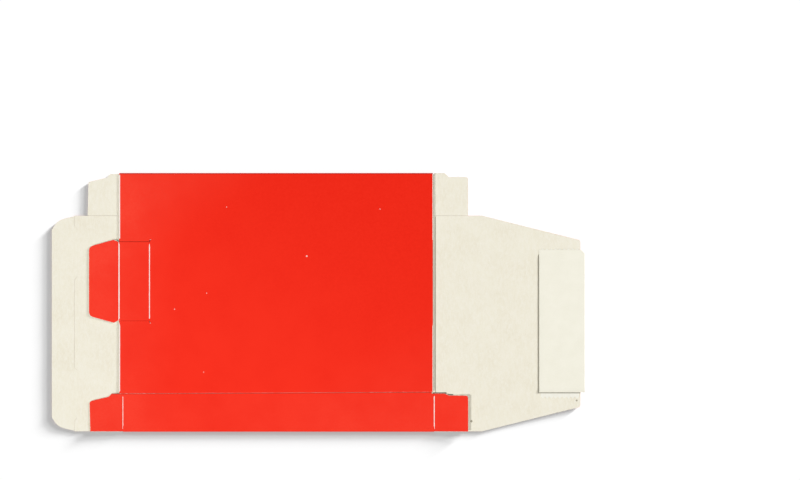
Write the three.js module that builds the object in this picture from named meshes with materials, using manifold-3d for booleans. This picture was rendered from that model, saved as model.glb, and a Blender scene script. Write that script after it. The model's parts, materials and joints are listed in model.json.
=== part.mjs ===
// Self-seal mailer carton of thin solid board, lying flat as it is supplied.
//
// One die-cut sheet is wrapped into a tube and glued along one corner: a back panel underneath, a
// front panel on top and two narrow sides, of which the lower side shows below the front panel and the
// upper side lies hidden behind it. The left end has an end wall with a slotted tuck flap, two dust
// flaps and a lock tongue cut out of the front panel. The right end has an end wall with a closing flap
// that carries a strip of double-sided tape under a release liner, and two more dust flaps.
//
// Millimetres, +Z up. In the sheet's own frame x = 0 is the crease of the left end wall, y = 0 is the
// outside of the fold between the back panel and the lower side, and z = 0 is the surface it lies on.

import * as THREE from 'three';
import { mergeVertices } from 'three/addons/utils/BufferGeometryUtils.js';
import Module from 'manifold-3d';

const wasm = await Module();
wasm.setup();

// Board and folded tube
const boardThickness = 0.55;
const layerGap = 0.1;
const backLength = 160;
const backWidth = 109.4;
const sideDepth = 21.4;
const frontInsetLeft = 0.6;
const frontInsetRight = 1.3;
const lowerSideInsetLeft = 2.0;
const lowerSideInsetRight = 0.6;
const upperSideInsetRight = 0.7;
const seamReach = 1.7;
const frontCornerRadius = 0.8;
const glueFlapWidth = 14;
const glueFlapTaper = 4;
const glueFlapInset = 0.5;
const slitWidth = 0.3;
const grooveWidth = 0.8;
const grooveDepth = 0.14;
const beadHeight = 0.07;

// Left end wall and tuck flap
const leftWallDepth = 21.2;
const tabReach = 1.4;
const endSlitLength = 5.2;
const centreSlitLength = 44;
const slitSlant = 1.8;
const tuckDepth = 12.8;
const tuckShoulder = 0.3;
const tuckBevelRun = 3.2;
const tuckBevelDrop = 2.2;
const tuckBevelRadius = 4;
const tuckCornerDrop = 7.1;

// Lock tongue, cut out of the front panel
const tongueReach = 15.5;
const tongueBaseDepth = 15.4;
const tongueWidth = 40;
const tipDepth = 15.2;
const tipNeck = 0.6;
const tipShoulder = 1.05;
const tipShoulderRun = 2.1;
const tipShoulderRadius = 0.5;
const tipTaper = 3.5;
const tipCornerRadius = 2.2;
const hookRise = 1.5;
const hookReach = 0.6;

// Dust flaps
const upperLeftFlapDepth = 15.9;
const upperLeftFlapNeck = 4.4;
const upperLeftFlapStep = 1.9;
const upperLeftFlapTaper = 2.2;
const upperLeftFlapInset = 0.45;
const upperLeftFlapRadius = 0.8;
const lowerLeftFlapDepth = 16.9;
const lowerLeftFlapNeck = 5.6;
const lowerLeftFlapStep = 1.6;
const lowerLeftFlapTaper = 2.3;
const leftFlapSlant = 0.4;
const rightFlapDepth = 17.2;
const rightFlapNeck = 5.2;
const upperRightFlapStep = 2.0;
const lowerRightFlapStep = 1.0;
const rightFlapStepRun = 2.4;
const flapCornerRadius = 1.4;

// Right end wall and closing flap
const rightWallDepth = 22.8;
const closingFlapDepth = 50.5;
const closingFlapTaper = 12.4;
const closingFlapNeck = 0.8;
const closingFlapCorner = 1.2;

// Double-sided tape and its release liner
const tapeWidth = 19.5;
const tapeLength = 76;
const tapeThickness = 0.15;
const tapeEdgeInset = 0.6;
const toothPitch = 2.2;
const toothDepth = 1.1;
const linerWidth = 23;
const linerLength = 72;
const linerThickness = 0.12;
const linerOverhang = 2.1;
const linerShift = 1.3;
const linerChamfer = 1.8;

// Heights of the three layers of board
const backTop = boardThickness;
const lowerSideBottom = backTop + layerGap;
const lowerSideTop = lowerSideBottom + boardThickness;
const frontBottom = lowerSideTop;
const frontTop = frontBottom + boardThickness;

// Places along y
const tubeWidth = backWidth + sideDepth;
const seamY = sideDepth - seamReach;
const upperFoldRadius = frontTop / 2;
const lowerFoldRadius = lowerSideTop / 2;
const upperFoldY = tubeWidth - upperFoldRadius;
const lowerFoldY = lowerFoldRadius;
const wallLow = slitWidth / 2;
const wallHigh = backWidth - slitWidth / 2;
const upperFlapLow = backWidth + slitWidth / 2;
const backMiddleY = backWidth / 2;
const frontMiddleY = (sideDepth + tubeWidth) / 2;

// Places along x
const frontLeft = frontInsetLeft;
const frontRight = backLength - frontInsetRight;
const lowerSideLeft = lowerSideInsetLeft;
const lowerSideRight = backLength - lowerSideInsetRight;
const glueFlapRight = frontRight - glueFlapInset;
const upperSideRight = backLength - upperSideInsetRight;
const tuckCreaseX = -leftWallDepth;
const slitX = tuckCreaseX - tabReach;
const tipCreaseX = tongueReach - tongueBaseDepth;
const closingCreaseX = backLength + rightWallDepth;
const closingEdgeX = closingCreaseX + closingFlapDepth;

const curveSegments = 8;
const foldSegments = 12;
const creaseClearance = 0.05;
const cutOverrun = 1;

const printedBoard = { color: 0xf2341f, roughness: 0.45, metalness: 0 };
const bareBoard = { color: 0xe9e3d0, roughness: 0.9, metalness: 0 };
const tape = { color: 0xefece0, roughness: 0.6, metalness: 0 };
const linerPaper = { color: 0xf3f0e2, roughness: 0.55, metalness: 0 };

// A point on the way from one corner to the next, a given distance along.
function towards(from, to, distance) {
  const start = new THREE.Vector2(from[0], from[1]);
  const step = new THREE.Vector2(to[0], to[1]).sub(start);
  return start.add(step.setLength(Math.min(distance, step.length() / 2)));
}

// A closed outline through corners [x, y] or [x, y, radius]. A corner with a radius is rounded off.
function outline(corners) {
  const shape = new THREE.Shape();
  corners.forEach((corner, index) => {
    const radius = corner[2] ?? 0;
    const arrive = radius > 0 ? towards(corner, corners.at(index - 1), radius) : corner;
    const [arriveX, arriveY] = radius > 0 ? [arrive.x, arrive.y] : arrive;
    if (index === 0) {
      shape.moveTo(arriveX, arriveY);
    } else {
      shape.lineTo(arriveX, arriveY);
    }
    if (radius > 0) {
      const leave = towards(corner, corners[(index + 1) % corners.length], radius);
      shape.quadraticCurveTo(corner[0], corner[1], leave.x, leave.y);
    }
  });
  return shape;
}

// The same corners mirrored about the line y = middle, in the opposite order.
function mirroredInY(corners, middle) {
  return corners.map(([x, y, ...rest]) => [x, 2 * middle - y, ...rest]).reverse();
}

function solidOf(geometry) {
  geometry.deleteAttribute('normal');
  geometry.deleteAttribute('uv');
  const merged = mergeVertices(geometry, 1e-5);
  const vertProperties = new Float32Array(merged.attributes.position.array);
  const triVerts = new Uint32Array(merged.index.array);
  return new wasm.Manifold(new wasm.Mesh({ numProp: 3, vertProperties, triVerts }));
}

// A flat sheet of the given outline, lying between two heights.
function sheet(shape, bottom, top) {
  const geometry = new THREE.ExtrudeGeometry(shape, {
    depth: top - bottom,
    bevelEnabled: false,
    curveSegments,
  });
  geometry.translate(0, 0, bottom);
  return solidOf(geometry);
}

// A bar along x from one place to another, with its section drawn in y and z.
function barAlongX(section, from, to) {
  const geometry = new THREE.ExtrudeGeometry(section, {
    depth: to - from,
    bevelEnabled: false,
    curveSegments: foldSegments,
  });
  const axes = new THREE.Matrix4().makeBasis(
    new THREE.Vector3(0, 1, 0),
    new THREE.Vector3(0, 0, 1),
    new THREE.Vector3(1, 0, 0),
  );
  geometry.applyMatrix4(axes);
  geometry.translate(from, 0, 0);
  return solidOf(geometry);
}

// A bar along y from one place to another, with its section drawn in x and z.
function barAlongY(section, from, to) {
  const geometry = new THREE.ExtrudeGeometry(section, {
    depth: to - from,
    bevelEnabled: false,
    curveSegments,
  });
  const axes = new THREE.Matrix4().makeBasis(
    new THREE.Vector3(1, 0, 0),
    new THREE.Vector3(0, 0, 1),
    new THREE.Vector3(0, -1, 0),
  );
  geometry.applyMatrix4(axes);
  geometry.translate(0, to, 0);
  return solidOf(geometry);
}

// Points on a half circle about [centreY, centreZ] between its two ends, which are left out. side is 1
// where it bulges towards +y and -1 towards -y, and upward says whether it runs from below to above.
function halfCircle(centreY, centreZ, radius, side, upward, steps) {
  const points = [];
  for (let step = 1; step < steps; step += 1) {
    const turn = Math.PI * (step / steps - 0.5) * (upward ? 1 : -1);
    points.push([centreY + side * radius * Math.cos(turn), centreZ + radius * Math.sin(turn)]);
  }
  return points;
}

// The section of a panel that is folded back over the board below it: a half-round fold, then the flat
// panel up to endY. bottom and top are the heights of the folded-back layer.
function foldedSection(foldY, endY, bottom, top) {
  const side = Math.sign(foldY - endY);
  const middle = top / 2;
  const innerRadius = (bottom - boardThickness) / 2;
  const innerSteps = innerRadius > boardThickness / 4 ? foldSegments : 2;
  return outline([
    [foldY, 0],
    ...halfCircle(foldY, middle, middle, side, true, foldSegments),
    [foldY, top],
    [endY, top],
    [endY, bottom],
    [foldY, bottom],
    ...halfCircle(foldY, middle, innerRadius, side, false, innerSteps),
    [foldY, boardThickness],
  ]);
}

// A shallow crease groove: a wedge centred on a line, biting into a face from outside it.
function grooveSection(centre, face, direction) {
  return outline([
    [centre - grooveWidth / 2, face - direction * creaseClearance],
    [centre + grooveWidth / 2, face - direction * creaseClearance],
    [centre + grooveWidth / 2, face],
    [centre, face + direction * grooveDepth],
    [centre - grooveWidth / 2, face],
  ]);
}

// The low bead that a crease raises on the inside of the board.
function beadSection(centre, face) {
  return outline([
    [centre - grooveWidth / 2, face - creaseClearance],
    [centre + grooveWidth / 2, face - creaseClearance],
    [centre + grooveWidth / 4, face + beadHeight],
    [centre - grooveWidth / 4, face + beadHeight],
  ]);
}

function underGroove(x, low, high) {
  return barAlongY(grooveSection(x, 0, 1), low, high);
}

function topGroove(x, top, low, high) {
  return barAlongY(grooveSection(x, top, -1), low, high);
}

// The line where the tuck flap meets its wall, from the lower edge to the upper one. It runs along the
// slits, where the wall keeps short tabs, and along the crease between them.
function tuckLine(gap) {
  const run = gap * slitSlant / tabReach;
  const lower = [
    [slitX - gap, wallLow],
    [slitX - gap, wallLow + endSlitLength + run],
    [tuckCreaseX, wallLow + endSlitLength + slitSlant + 2 * run],
    [tuckCreaseX, backMiddleY - centreSlitLength / 2 - slitSlant - 2 * run],
    [slitX - gap, backMiddleY - centreSlitLength / 2 - run],
  ];
  return [...lower, ...mirroredInY(lower, backMiddleY)];
}

function backAndUpperSide() {
  const corners = [
    [closingCreaseX, wallLow],
    [closingCreaseX, wallHigh],
    [upperSideRight, wallHigh],
    [upperSideRight, upperFoldY],
    [0, upperFoldY],
    [0, wallHigh],
    ...tuckLine(0).reverse(),
    [lowerSideLeft, wallLow],
    [lowerSideLeft, lowerFoldY],
    [lowerSideRight, lowerFoldY],
    [lowerSideRight, wallLow],
  ];
  const creases = [
    underGroove(0, wallLow - cutOverrun, wallHigh),
    underGroove(backLength, wallLow - cutOverrun, wallHigh),
    underGroove(tuckCreaseX, -cutOverrun, tubeWidth),
    underGroove(closingCreaseX, -cutOverrun, tubeWidth),
    underGroove(upperSideRight, upperFlapLow, upperFoldY - creaseClearance),
    underGroove(0, upperFlapLow, upperFoldY - creaseClearance),
    barAlongX(grooveSection(backWidth, 0, 1), 0, upperSideRight),
  ];
  const beads = [
    barAlongY(beadSection(0, backTop), wallLow, wallHigh),
    barAlongY(beadSection(backLength, backTop), wallLow, wallHigh),
    barAlongX(beadSection(backWidth, backTop), grooveWidth, upperSideRight - grooveWidth),
  ];
  const flat = sheet(outline(corners), 0, backTop);
  const beaded = beads.reduce((solid, bead) => solid.add(bead), flat);
  return creases.reduce((solid, crease) => solid.subtract(crease), beaded);
}

function lowerSideAndGlueFlap() {
  const section = foldedSection(lowerFoldY, seamY, lowerSideBottom, lowerSideTop);
  const glueFlap = sheet(outline([
    [lowerSideLeft, seamY],
    [glueFlapRight, seamY],
    [glueFlapRight, sideDepth],
    [glueFlapRight - glueFlapTaper, sideDepth + glueFlapWidth],
    [lowerSideLeft + glueFlapTaper, sideDepth + glueFlapWidth],
    [lowerSideLeft, sideDepth],
  ]), lowerSideBottom, lowerSideTop);
  return barAlongX(section, lowerSideLeft, lowerSideRight)
    .add(glueFlap)
    .subtract(topGroove(lowerSideLeft, lowerSideTop, lowerFoldY + creaseClearance, seamY))
    .subtract(topGroove(lowerSideRight, lowerSideTop, lowerFoldY + creaseClearance, seamY));
}

function frontPanel() {
  const section = foldedSection(upperFoldY, seamY, frontBottom, frontTop);
  const trim = sheet(outline([
    [frontLeft, seamY, frontCornerRadius],
    [frontRight, seamY, frontCornerRadius],
    [frontRight, tubeWidth + cutOverrun],
    [frontLeft, tubeWidth + cutOverrun],
  ]), -cutOverrun, frontTop + cutOverrun);
  return barAlongX(section, frontLeft, frontRight)
    .intersect(trim)
    .subtract(tongueCutOut());
}

// The opening that the lock tongue leaves in the front panel, with a small hook at each slit's end.
function tongueCutOut() {
  const halfWidth = tongueWidth / 2;
  const bottom = frontBottom - cutOverrun;
  const top = frontTop + cutOverrun;
  const opening = sheet(outline([
    [frontLeft - cutOverrun, frontMiddleY - halfWidth - slitWidth],
    [tongueReach, frontMiddleY - halfWidth - slitWidth],
    [tongueReach, frontMiddleY + halfWidth + slitWidth],
    [frontLeft - cutOverrun, frontMiddleY + halfWidth + slitWidth],
  ]), bottom, top);
  const hook = [
    [tongueReach - slitWidth, frontMiddleY + halfWidth],
    [tongueReach, frontMiddleY + halfWidth],
    [tongueReach + hookReach, frontMiddleY + halfWidth + slitWidth + hookRise],
    [tongueReach + hookReach - slitWidth, frontMiddleY + halfWidth + slitWidth + hookRise],
  ];
  const upperHook = sheet(outline(hook), bottom, top);
  const lowerHook = sheet(outline(mirroredInY(hook, frontMiddleY)), bottom, top);
  const crease = topGroove(tongueReach, frontTop, frontMiddleY - halfWidth, frontMiddleY + halfWidth);
  return opening.add(upperHook).add(lowerHook).add(crease);
}

function cartonBody() {
  return backAndUpperSide().add(lowerSideAndGlueFlap()).add(frontPanel());
}

function tuckFlap() {
  const edge = tuckCreaseX - tuckDepth;
  const upperEnd = [
    [slitX - slitWidth, wallHigh - tuckShoulder],
    [edge + tuckBevelRun, wallHigh - tuckBevelDrop, tuckBevelRadius],
    [edge, wallHigh - tuckCornerDrop],
  ];
  const root = tuckLine(slitWidth).slice(1, -1);
  const lowerEnd = mirroredInY(upperEnd, backMiddleY);
  return sheet(outline([...root, ...upperEnd, ...lowerEnd]), 0, backTop)
    .subtract(underGroove(tuckCreaseX, -cutOverrun, tubeWidth));
}

function tongueBase() {
  const low = frontMiddleY - tongueWidth / 2;
  const high = frontMiddleY + tongueWidth / 2;
  return sheet(outline([
    [tipCreaseX, low],
    [tongueReach, low],
    [tongueReach, high],
    [tipCreaseX, high],
  ]), frontBottom, frontTop)
    .subtract(topGroove(tongueReach, frontTop, low - cutOverrun, high + cutOverrun))
    .subtract(topGroove(tipCreaseX, frontTop, low - cutOverrun, high + cutOverrun));
}

function tongueTip() {
  const high = frontMiddleY + tongueWidth / 2;
  const end = tipCreaseX - tipDepth;
  const upperEdge = [
    [tipCreaseX, high],
    [tipCreaseX - tipNeck, high],
    [tipCreaseX - tipNeck - tipShoulderRun, high + tipShoulder, tipShoulderRadius],
    [end, high + tipShoulder - tipTaper, tipCornerRadius],
  ];
  const lowerEdge = mirroredInY(upperEdge, frontMiddleY);
  return sheet(outline([...upperEdge, ...lowerEdge]), frontBottom, frontTop)
    .subtract(topGroove(tipCreaseX, frontTop, 0, tubeWidth));
}

function upperLeftDustFlap() {
  const high = tubeWidth - upperLeftFlapInset;
  const stepFoot = high - upperLeftFlapStep;
  return sheet(outline([
    [0, upperFlapLow],
    [0, high],
    [-upperLeftFlapNeck, high],
    [-upperLeftFlapNeck - upperLeftFlapStep, stepFoot],
    [-upperLeftFlapDepth + leftFlapSlant, stepFoot - upperLeftFlapTaper, upperLeftFlapRadius],
    [-upperLeftFlapDepth, upperFlapLow],
  ]), 0, backTop).subtract(underGroove(0, backWidth, tubeWidth));
}

function lowerLeftDustFlap() {
  const high = seamY - slitWidth;
  const edge = lowerSideLeft - lowerLeftFlapDepth;
  const neck = lowerSideLeft - lowerLeftFlapNeck;
  return sheet(outline([
    [lowerSideLeft, wallLow],
    [lowerSideLeft, high],
    [neck, high],
    [neck - lowerLeftFlapStep, high - lowerLeftFlapStep],
    [edge, high - lowerLeftFlapStep - lowerLeftFlapTaper, flapCornerRadius],
    [edge + leftFlapSlant, wallLow],
  ]), lowerSideBottom, lowerSideTop)
    .subtract(topGroove(lowerSideLeft, lowerSideTop, -cutOverrun, tubeWidth));
}

// The two right dust flaps have the same cut: a sloping step down from the neck, then a parallel edge.
function rightDustFlap(creaseX, rootEdge, farEdge, step) {
  const direction = Math.sign(farEdge - rootEdge);
  return outline([
    [creaseX, rootEdge],
    [creaseX, farEdge],
    [creaseX + rightFlapNeck, farEdge],
    [creaseX + rightFlapNeck + rightFlapStepRun, farEdge - direction * step],
    [creaseX + rightFlapDepth, farEdge - direction * step, flapCornerRadius],
    [creaseX + rightFlapDepth, rootEdge],
  ]);
}

function upperRightDustFlap() {
  const shape = rightDustFlap(upperSideRight, upperFlapLow, tubeWidth, upperRightFlapStep);
  return sheet(shape, 0, backTop)
    .subtract(underGroove(upperSideRight, backWidth, tubeWidth + cutOverrun));
}

function lowerRightDustFlap() {
  const high = seamY - slitWidth;
  const shape = rightDustFlap(lowerSideRight, wallLow, high, lowerRightFlapStep);
  return sheet(shape, lowerSideBottom, lowerSideTop)
    .subtract(topGroove(lowerSideRight, lowerSideTop, -cutOverrun, tubeWidth));
}

function closingFlap() {
  const neckX = closingCreaseX + closingFlapNeck;
  const upper = [
    [closingCreaseX, wallHigh],
    [neckX, wallHigh],
    [closingEdgeX, wallHigh - closingFlapTaper, closingFlapCorner],
  ];
  const lower = mirroredInY(upper, backMiddleY);
  return sheet(outline([...upper, ...lower]), 0, backTop)
    .subtract(underGroove(closingCreaseX, -cutOverrun, tubeWidth));
}

// One zigzag end of the tape, as cut by a toothed blade, from the right edge to the left.
function zigzagEnd(right, width, y, direction) {
  const teeth = Math.max(1, Math.round(width / toothPitch));
  const pitch = width / teeth;
  const corners = [];
  for (let tooth = 0; tooth < teeth; tooth += 1) {
    corners.push([right - tooth * pitch, y]);
    corners.push([right - (tooth + 0.5) * pitch, y + direction * toothDepth]);
  }
  corners.push([right - width, y]);
  return corners;
}

function adhesiveStrip() {
  const right = closingEdgeX - tapeEdgeInset;
  const high = backMiddleY + tapeLength / 2 - toothDepth;
  const upper = zigzagEnd(right, tapeWidth, high, 1);
  const lower = mirroredInY(upper, backMiddleY);
  return sheet(outline([...upper, ...lower]), backTop, backTop + tapeThickness);
}

function releaseLiner() {
  const bottom = backTop + tapeThickness;
  const right = closingEdgeX + linerOverhang;
  const low = backMiddleY + linerShift - linerLength / 2;
  const high = backMiddleY + linerShift + linerLength / 2;
  return sheet(outline([
    [right - linerWidth, low],
    [right, low],
    [right, high - linerChamfer],
    [right - linerChamfer, high],
    [right - linerWidth, high],
  ]), bottom, bottom + linerThickness);
}

function meshOf(solid, name, look) {
  const { vertProperties, triVerts } = solid.getMesh();
  const geometry = new THREE.BufferGeometry();
  geometry.setAttribute('position', new THREE.BufferAttribute(vertProperties, 3));
  geometry.setIndex(new THREE.BufferAttribute(triVerts, 1));
  geometry.computeVertexNormals();
  const mesh = new THREE.Mesh(geometry, new THREE.MeshStandardMaterial(look));
  mesh.name = name;
  return mesh;
}

const leftEdge = tuckCreaseX - tuckDepth;
const rightEdge = closingEdgeX + linerOverhang;

const group = new THREE.Group();
group.name = 'mailer_carton';
group.position.set(-(leftEdge + rightEdge) / 2, -tubeWidth / 2, 0);
group.add(
  meshOf(cartonBody(), 'carton_body', printedBoard),
  meshOf(tuckFlap(), 'tuck_flap', bareBoard),
  meshOf(tongueBase(), 'lock_tongue_base', printedBoard),
  meshOf(tongueTip(), 'lock_tongue_tip', printedBoard),
  meshOf(upperLeftDustFlap(), 'upper_left_dust_flap', bareBoard),
  meshOf(lowerLeftDustFlap(), 'lower_left_dust_flap', printedBoard),
  meshOf(upperRightDustFlap(), 'upper_right_dust_flap', bareBoard),
  meshOf(lowerRightDustFlap(), 'lower_right_dust_flap', printedBoard),
  meshOf(closingFlap(), 'closing_flap', bareBoard),
  meshOf(adhesiveStrip(), 'adhesive_strip', tape),
  meshOf(releaseLiner(), 'release_liner', linerPaper),
);

export default group;
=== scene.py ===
"""Looks of a flat-folded mailer carton.

The glued tube is one continuous folded sheet with a printed outside, a bare inside and cut edges. Each
flap is a sheet of its own that starts at its crease. Lengths are millimetres in the row frame until a
mesh is written in metres.
"""

import json
import math

import bmesh
import bpy
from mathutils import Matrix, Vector, noise


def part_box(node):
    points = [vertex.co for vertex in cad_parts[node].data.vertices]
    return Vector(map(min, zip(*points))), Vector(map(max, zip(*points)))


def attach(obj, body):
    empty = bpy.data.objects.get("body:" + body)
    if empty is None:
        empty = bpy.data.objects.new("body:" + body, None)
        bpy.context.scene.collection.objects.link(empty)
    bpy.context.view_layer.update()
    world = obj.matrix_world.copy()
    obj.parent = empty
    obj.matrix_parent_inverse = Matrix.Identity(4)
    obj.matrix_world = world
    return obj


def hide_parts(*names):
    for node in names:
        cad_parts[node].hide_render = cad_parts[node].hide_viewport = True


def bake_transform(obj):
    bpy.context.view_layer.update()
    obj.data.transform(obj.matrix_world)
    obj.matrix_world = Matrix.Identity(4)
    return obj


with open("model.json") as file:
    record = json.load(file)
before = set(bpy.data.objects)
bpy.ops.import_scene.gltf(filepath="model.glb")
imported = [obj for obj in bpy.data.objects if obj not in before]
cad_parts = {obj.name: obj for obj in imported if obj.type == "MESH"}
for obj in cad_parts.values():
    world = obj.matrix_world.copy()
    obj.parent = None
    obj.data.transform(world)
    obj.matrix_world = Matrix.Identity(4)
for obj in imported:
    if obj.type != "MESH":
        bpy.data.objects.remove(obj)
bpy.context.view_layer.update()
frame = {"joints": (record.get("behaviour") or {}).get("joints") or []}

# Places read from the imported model
HINGE = {joint["name"]: [1000 * c for c in joint["pos_m"]] for joint in frame["joints"]}
BOARD = 1000 * (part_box("closing_flap")[1].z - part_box("closing_flap")[0].z)


def box_mm(node):
    low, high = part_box(node)
    return Vector(low) * 1000, Vector(high) * 1000


BODY_LOW, BODY_HIGH = box_mm("carton_body")
TUCK_LOW = box_mm("tuck_flap")[0]
BASE_LOW, BASE_HIGH = box_mm("lock_tongue_base")
TIP_LOW = box_mm("lock_tongue_tip")[0]
UPPER_LEFT_LOW, UPPER_LEFT_HIGH = box_mm("upper_left_dust_flap")
LOWER_LEFT_LOW, LOWER_LEFT_HIGH = box_mm("lower_left_dust_flap")
UPPER_RIGHT_LOW, UPPER_RIGHT_HIGH = box_mm("upper_right_dust_flap")
LOWER_RIGHT_HIGH = box_mm("lower_right_dust_flap")[1]
CLOSING_LOW, CLOSING_HIGH = box_mm("closing_flap")
TAPE_LOW, TAPE_HIGH = box_mm("adhesive_strip")
LINER_LOW, LINER_HIGH = box_mm("release_liner")

# Sizes of the blank that the boxes don't give
BACK_LENGTH = 160.0
SIDE_DEPTH = 21.4
SEAM_REACH = 1.7
FRONT_INSET_LEFT = 0.15
FRONT_INSET_RIGHT = 1.3
FRONT_CORNER = 0.9
SEAM_SKEW = 0.4
GLUE_FLAP = 14.0
GLUE_TAPER = 4.0
GLUE_INSET = 0.5
SLIT_GAP = 0.01
HOOK_X = 0.55
HOOK_Y = 1.0
HOOK_WIDTH = 0.25
FOLD_NOTCH = 0.3
WALL_NOTCH = 0.5
CREASE_SLACK = 0.2
FLAP_CLOSER = 0.28
TAB_REACH = 1.4
END_SLIT = 5.2
CENTRE_SLIT = 44.0
SLIT_SLANT = 1.8
TUCK_END_INSET = 0.3
TUCK_SLOPE = ((3.2, 2.2), (0.0, 7.1))
TUCK_RADIUS = 4.0
CLOSING_SHOULDER = 0.8
CLOSING_SLOPE = 12.4
CLOSING_RADIUS = 1.2
TIP_SHOULDER = ((0.6, 0.0), (2.7, 1.05, 0.5))
TIP_SLOPE = 2.45
TIP_RADIUS = 2.2
TOOTH_PITCH = 2.2
TOOTH_DEPTH = 1.1
LINER_CHAMFER = 1.8
LINER_PAPER = 0.06

# The left dust flaps: length of the neck, its step, drop and radius of the far corner, and how far
# the far edge leans in at its end and at its root
UPPER_LEFT_SHAPE = (4.4, 1.9, 4.1, 0.8, 0.4, 0.0)
LOWER_LEFT_SHAPE = (5.6, 1.6, 3.9, 1.4, 0.0, 0.4)

# The right dust flaps: reach of the neck, the shoulder and the far edge, radius there, and the steps
RIGHT_NECK = 5.2
RIGHT_SHOULDER = 7.6
RIGHT_REACH = 17.2
RIGHT_RADIUS = 1.4
UPPER_RIGHT_STEP = 2.0
LOWER_RIGHT_STEP = 1.0

# Heights of the middle of each layer of board
BACK_Z = BOARD / 2
LOWER_SIDE_Z = (LOWER_LEFT_LOW.z + LOWER_LEFT_HIGH.z) / 2
FRONT_Z = BODY_HIGH.z - BOARD / 2

# Places along x
LEFT_CREASE = HINGE["upper_left_dust_crease"][0]
RIGHT_CREASE = LEFT_CREASE + BACK_LENGTH
TUCK_CREASE = HINGE["tuck_crease"][0]
SLIT_X = TUCK_CREASE - TAB_REACH
CLOSING_CREASE = HINGE["closing_crease"][0]
LOWER_LEFT_CREASE = HINGE["lower_left_dust_crease"][0]
LOWER_RIGHT_CREASE = HINGE["lower_right_dust_crease"][0]
UPPER_RIGHT_CREASE = HINGE["upper_right_dust_crease"][0]
TONGUE_CREASE = HINGE["tongue_base_crease"][0]
TIP_CREASE = HINGE["tongue_tip_crease"][0]
FRONT_LEFT = LEFT_CREASE + FRONT_INSET_LEFT
FRONT_RIGHT = RIGHT_CREASE - FRONT_INSET_RIGHT

# Places along y
LOWER_EDGE = BODY_LOW.y
UPPER_EDGE = BODY_HIGH.y
WALL_LOW = CLOSING_LOW.y
WALL_HIGH = CLOSING_HIGH.y
UPPER_FLAP_LOW = UPPER_RIGHT_LOW.y
UPPER_FLAP_ROOT = UPPER_FLAP_LOW - FLAP_CLOSER
BACK_CREASE_Y = (WALL_HIGH + UPPER_FLAP_LOW) / 2
BACK_MIDDLE_Y = (WALL_LOW + WALL_HIGH) / 2
SEAM_Y = LOWER_EDGE + SIDE_DEPTH - SEAM_REACH
TONGUE_LOW = BASE_LOW.y
TONGUE_HIGH = BASE_HIGH.y
TONGUE_MIDDLE = (TONGUE_LOW + TONGUE_HIGH) / 2

# The two folds, as half circles through the middle of the board
UPPER_FOLD_OUTER = BODY_HIGH.z / 2
UPPER_FOLD_Y = UPPER_EDGE - UPPER_FOLD_OUTER
UPPER_FOLD_RADIUS = UPPER_FOLD_OUTER - BOARD / 2
UPPER_FOLD_LENGTH = math.pi * UPPER_FOLD_RADIUS
LOWER_FOLD_OUTER = LOWER_LEFT_HIGH.z / 2
LOWER_FOLD_Y = LOWER_EDGE + LOWER_FOLD_OUTER
LOWER_FOLD_RADIUS = LOWER_FOLD_OUTER - BOARD / 2
LOWER_FOLD_LENGTH = math.pi * LOWER_FOLD_RADIUS

# Fineness and relief
GRID = 2.0
FLAP_GRID = 1.5
STRIP_GRID = 1.2
FOLD_STEPS = 10
TOUCHING = 1e-3
WELD = 1e-4
BOARD_SHARP_DEGREES = 50
STRIP_SHARP_DEGREES = 40
RIM = 0.55
EDGE_BULGE = 0.07
TRIM = RIM + EDGE_BULGE
CREASE_LINES = (-1.0, -0.65, -0.42, -0.26, -0.13, 0.0, 0.13, 0.26, 0.42, 0.65, 1.0)
GROOVE_DEPTH = 0.1
BEAD_HEIGHT = 0.09
CREASE_SPREAD = 0.3
CREASE_FADE = 0.6
CRACK_SPREAD = 0.34
CRACK_MARGIN = 1.0
INSIDE_LINE_SPREAD = 0.17

# Strength of the creases, how far the print has chipped along the cut edges, and the painted shade beside
# the tongue's slits
FAINT = 0.45
TIP_CRACK = 1.35
SOFT_CRACK = 0.84
PLAIN_WEAR = 0.75
FOLD_WEAR = 0.6
SEAM_WEAR = 0.74
LEFT_EDGE_WEAR = 4.0
RIGHT_EDGE_WEAR = 0.95
UPPER_SLIT_SHADE = -1.0
LOWER_SLIT_SHADE = -0.85

# How the sheets lie: heights, and the runs over which they come in. A wave is (height, size, seed)
FRONT_WAVES = ((0.16, 47, 3.1), (0.07, 19, 8.4))
FRONT_SINK = 0.05
FRONT_RISE = 0.04
FRONT_RUN = 12.0
LOOSE_CORNER = 0.2
LOOSE_RUN = 14.0
WALL_RISE = 0.1
WALL_WAVE = (0.08, 16, 5.2)
WALL_RUN = 20.0
TONGUE_SINK = 0.12
TONGUE_RUN = 15.0
TIP_CURL = 0.004
TUCK_RISE = 0.35
CLOSING_RISE = 0.35
CLOSING_START = 0.04
CLOSING_FADE = 0.25
LINER_WAVE = (0.03, 9, 2.7)
LINER_LEFT_RISE = 0.6
LINER_LEFT_RUN = 3.2
LINER_TOP_RUN = 4.0
LINER_LOW_RISE = 0.65
LINER_LOW_RUN = 3.0
LINER_END_SLOPE = 0.05
LINER_END_RUN = 0.6
TAPE_CLEARANCE = 0.01
LINER_CLEARANCE = 0.03
# Each dust flap: depth of its curl, rise at its far edge, rise right beside its crease
UPPER_LEFT_CURL = (16, 0.3, 0.03)
LOWER_LEFT_CURL = (17, 0.3, 0.06)
UPPER_RIGHT_CURL = (17, 0.25, 0.03)
LOWER_RIGHT_CURL = (17, 0.75, 0.06)


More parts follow.
